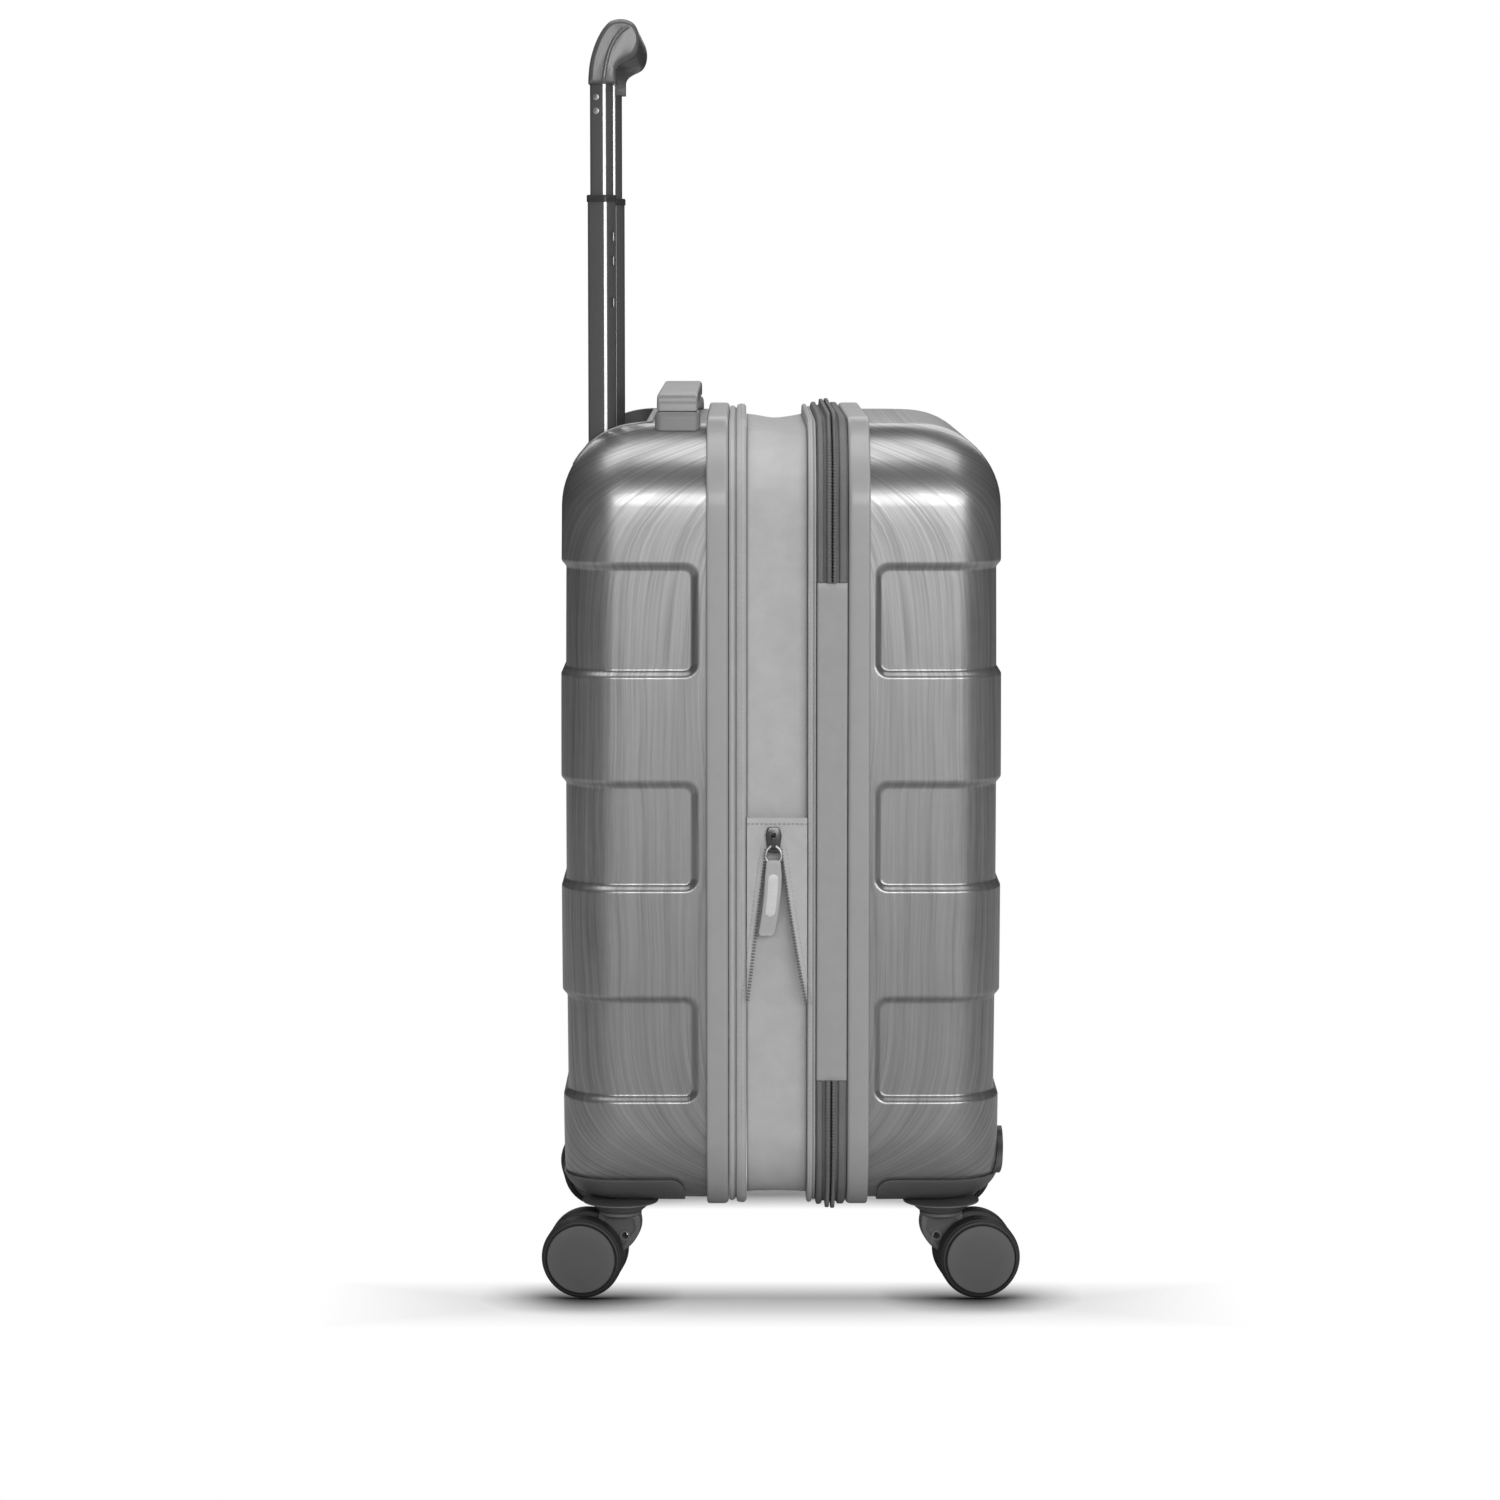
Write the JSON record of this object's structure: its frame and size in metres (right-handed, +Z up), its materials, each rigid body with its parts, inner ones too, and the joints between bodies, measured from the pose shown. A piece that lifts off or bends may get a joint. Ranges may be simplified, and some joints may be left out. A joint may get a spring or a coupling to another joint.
{
  "type": "hard shell suitcase",
  "caption": "Expandable hard-shell cabin suitcase with a telescoping trolley handle, carry handle, hinged lid and swivelling twin-wheel casters.",
  "frame": {"origin": "on the floor, under the middle of the case", "axes": "+Z up; +X towards the lid, -X towards the trolley handle; -Y is the hinge side, +Y the lock side"},
  "size_m": [0.3022, 0.3678, 0.8061],
  "materials": {
    "shell": "satin metallic polycarbonate with fine brushed lines",
    "band": "satin moulded edging",
    "fabric": "tight woven polyester tape",
    "lining": "thin woven lining",
    "dark_plastic": "satin dark moulded plastic",
    "handle_plastic": "satin moulded grip",
    "tube": "dark anodised, satin",
    "wheel": "moulded tread with a satin cap",
    "steel": "plated steel",
    "dark_metal": "black nickel zipper hardware",
    "puller": "soft moulded pull tab"
  },
  "bodies": {
    "case": {"rear_shell": "shell", "rear_band": "band", "rear_lining": "lining", "rear_flange": "fabric", "gusset": "fabric", "expansion_tape": "fabric", "handle_pocket": "dark_plastic", "outer_tube_left": "tube", "outer_tube_right": "tube", "trolley_base": "dark_plastic", "handle_base_left": "dark_plastic", "handle_base_right": "dark_plastic", "caster_housing_rear_left": "dark_plastic", "caster_housing_rear_right": "dark_plastic"},
    "expansion_frame": {"front_flange": "fabric", "main_zipper_case_half": "fabric", "hinge_strip": "fabric"},
    "lid": {"main_zipper_lid_half": "fabric", "front_band": "band", "front_shell": "shell", "lid_lining": "lining", "lock_case": "dark_plastic", "caster_housing_front_left": "dark_plastic", "caster_housing_front_right": "dark_plastic", "front_bumper_left": "dark_plastic", "front_bumper_right": "dark_plastic"},
    "expansion_slider": {"expansion_slider": "dark_metal"},
    "puller": {"pull_ring": "steel", "pull_tab": "puller"},
    "trolley_middle": {"middle_tube_left": "tube", "middle_tube_right": "tube", "stage_collar_left": "dark_plastic", "stage_collar_right": "dark_plastic"},
    "trolley_top": {"inner_tube_left": "tube", "inner_tube_right": "tube", "grip": "dark_plastic"},
    "release_button": {"release_button": "dark_plastic"},
    "carry_handle": {"carry_handle": "handle_plastic"},
    "lock_dial_1": {"lock_dial_1": "steel"},
    "lock_dial_2": {"lock_dial_2": "steel"},
    "lock_dial_3": {"lock_dial_3": "steel"},
    "lock_button": {"lock_button": "steel"},
    "main_slider_upper": {"main_slider_upper": "dark_metal"},
    "main_slider_lower": {"main_slider_lower": "dark_metal"},
    "caster_rear_left": {"caster_fork_rear_left": "dark_plastic"},
    "wheels_rear_left": {"axle_rear_left": "steel", "wheel_rear_left_outer": "wheel", "wheel_rear_left_inner": "wheel"},
    "caster_rear_right": {"caster_fork_rear_right": "dark_plastic"},
    "wheels_rear_right": {"axle_rear_right": "steel", "wheel_rear_right_outer": "wheel", "wheel_rear_right_inner": "wheel"},
    "caster_front_left": {"caster_fork_front_left": "dark_plastic"},
    "wheels_front_left": {"axle_front_left": "steel", "wheel_front_left_outer": "wheel", "wheel_front_left_inner": "wheel"},
    "caster_front_right": {"caster_fork_front_right": "dark_plastic"},
    "wheels_front_right": {"axle_front_right": "steel", "wheel_front_right_outer": "wheel", "wheel_front_right_inner": "wheel"}
  },
  "joints": [
    {"name": "expansion", "type": "slide", "parent": "case", "child": "expansion_frame", "axis": [1, 0, 0], "range_m": [-0.033, 0], "deforming": ["gusset", "expansion_tape"]},
    {"name": "lid_hinge", "type": "hinge", "parent": "expansion_frame", "child": "lid", "pos_m": [0.04, -0.1795, 0.306], "axis": [0, 0, 1], "range_deg": [-170, 0]},
    {"name": "expansion_slider_follow", "type": "slide", "parent": "case", "child": "expansion_slider", "axis": [1, 0, 0], "range_m": [-0.0165, 0]},
    {"name": "puller_swing", "type": "hinge", "parent": "expansion_slider", "child": "puller", "pos_m": [-0.005, -0.1815, 0.2925], "axis": [-1, 0, 0], "range_deg": [0, 110]},
    {"name": "trolley_lower_stage", "type": "slide", "parent": "case", "child": "trolley_middle", "axis": [0, 0, 1], "range_m": [-0.178, 0.07]},
    {"name": "trolley_upper_stage", "type": "slide", "parent": "trolley_middle", "child": "trolley_top", "axis": [0, 0, 1], "range_m": [-0.068, 0.14]},
    {"name": "release_button_press", "type": "slide", "parent": "trolley_top", "child": "release_button", "axis": [0, 0, -1], "range_m": [0, 0.0022], "stiffness_N_per_m": 250},
    {"name": "carry_handle_lift", "type": "slide", "parent": "case", "child": "carry_handle", "axis": [0, 0, 1], "range_m": [0, 0.0034]},
    {"name": "lock_dial_1_turn", "type": "hinge", "parent": "lid", "child": "lock_dial_1", "pos_m": [0.0685, 0.1722, 0.3455], "axis": [0, 0, 1], "continuous": true},
    {"name": "lock_dial_2_turn", "type": "hinge", "parent": "lid", "child": "lock_dial_2", "pos_m": [0.0685, 0.1722, 0.354], "axis": [0, 0, 1], "continuous": true},
    {"name": "lock_dial_3_turn", "type": "hinge", "parent": "lid", "child": "lock_dial_3", "pos_m": [0.0685, 0.1722, 0.3625], "axis": [0, 0, 1], "continuous": true},
    {"name": "lock_button_press", "type": "slide", "parent": "lid", "child": "lock_button", "axis": [0, -1, 0], "range_m": [0, 0.002], "stiffness_N_per_m": 250},
    {"name": "main_slider_upper_run", "type": "slide", "parent": "lid", "child": "main_slider_upper", "axis": [0, 0, 1], "range_m": [0, 0.1]},
    {"name": "main_slider_lower_run", "type": "slide", "parent": "lid", "child": "main_slider_lower", "axis": [0, 0, 1], "range_m": [-0.1, 0]},
    {"name": "caster_swivel_rear_left", "type": "hinge", "parent": "case", "child": "caster_rear_left", "pos_m": [-0.1015, -0.133, 0.056], "axis": [0, 0, 1], "continuous": true},
    {"name": "wheel_spin_rear_left", "type": "hinge", "parent": "caster_rear_left", "child": "wheels_rear_left", "pos_m": [-0.12378, -0.13066, 0.0256], "axis": [-0.1045, -0.9945, 0], "continuous": true},
    {"name": "caster_swivel_rear_right", "type": "hinge", "parent": "case", "child": "caster_rear_right", "pos_m": [-0.1015, 0.133, 0.056], "axis": [0, 0, 1], "continuous": true},
    {"name": "wheel_spin_rear_right", "type": "hinge", "parent": "caster_rear_right", "child": "wheels_rear_right", "pos_m": [-0.12378, 0.13066, 0.0256], "axis": [0.1045, -0.9945, 0], "continuous": true},
    {"name": "caster_swivel_front_left", "type": "hinge", "parent": "lid", "child": "caster_front_left", "pos_m": [0.1015, -0.133, 0.056], "axis": [0, 0, 1], "continuous": true},
    {"name": "wheel_spin_front_left", "type": "hinge", "parent": "caster_front_left", "child": "wheels_front_left", "pos_m": [0.12378, -0.13066, 0.0256], "axis": [-0.1045, 0.9945, 0], "continuous": true},
    {"name": "caster_swivel_front_right", "type": "hinge", "parent": "lid", "child": "caster_front_right", "pos_m": [0.1015, 0.133, 0.056], "axis": [0, 0, 1], "continuous": true},
    {"name": "wheel_spin_front_right", "type": "hinge", "parent": "caster_front_right", "child": "wheels_front_right", "pos_m": [0.12378, 0.13066, 0.0256], "axis": [0.1045, 0.9945, 0], "continuous": true}
  ],
  "couplings": [
    {"joint": "expansion_slider_follow", "follows": "expansion", "ratio": 0.5}
  ]
}
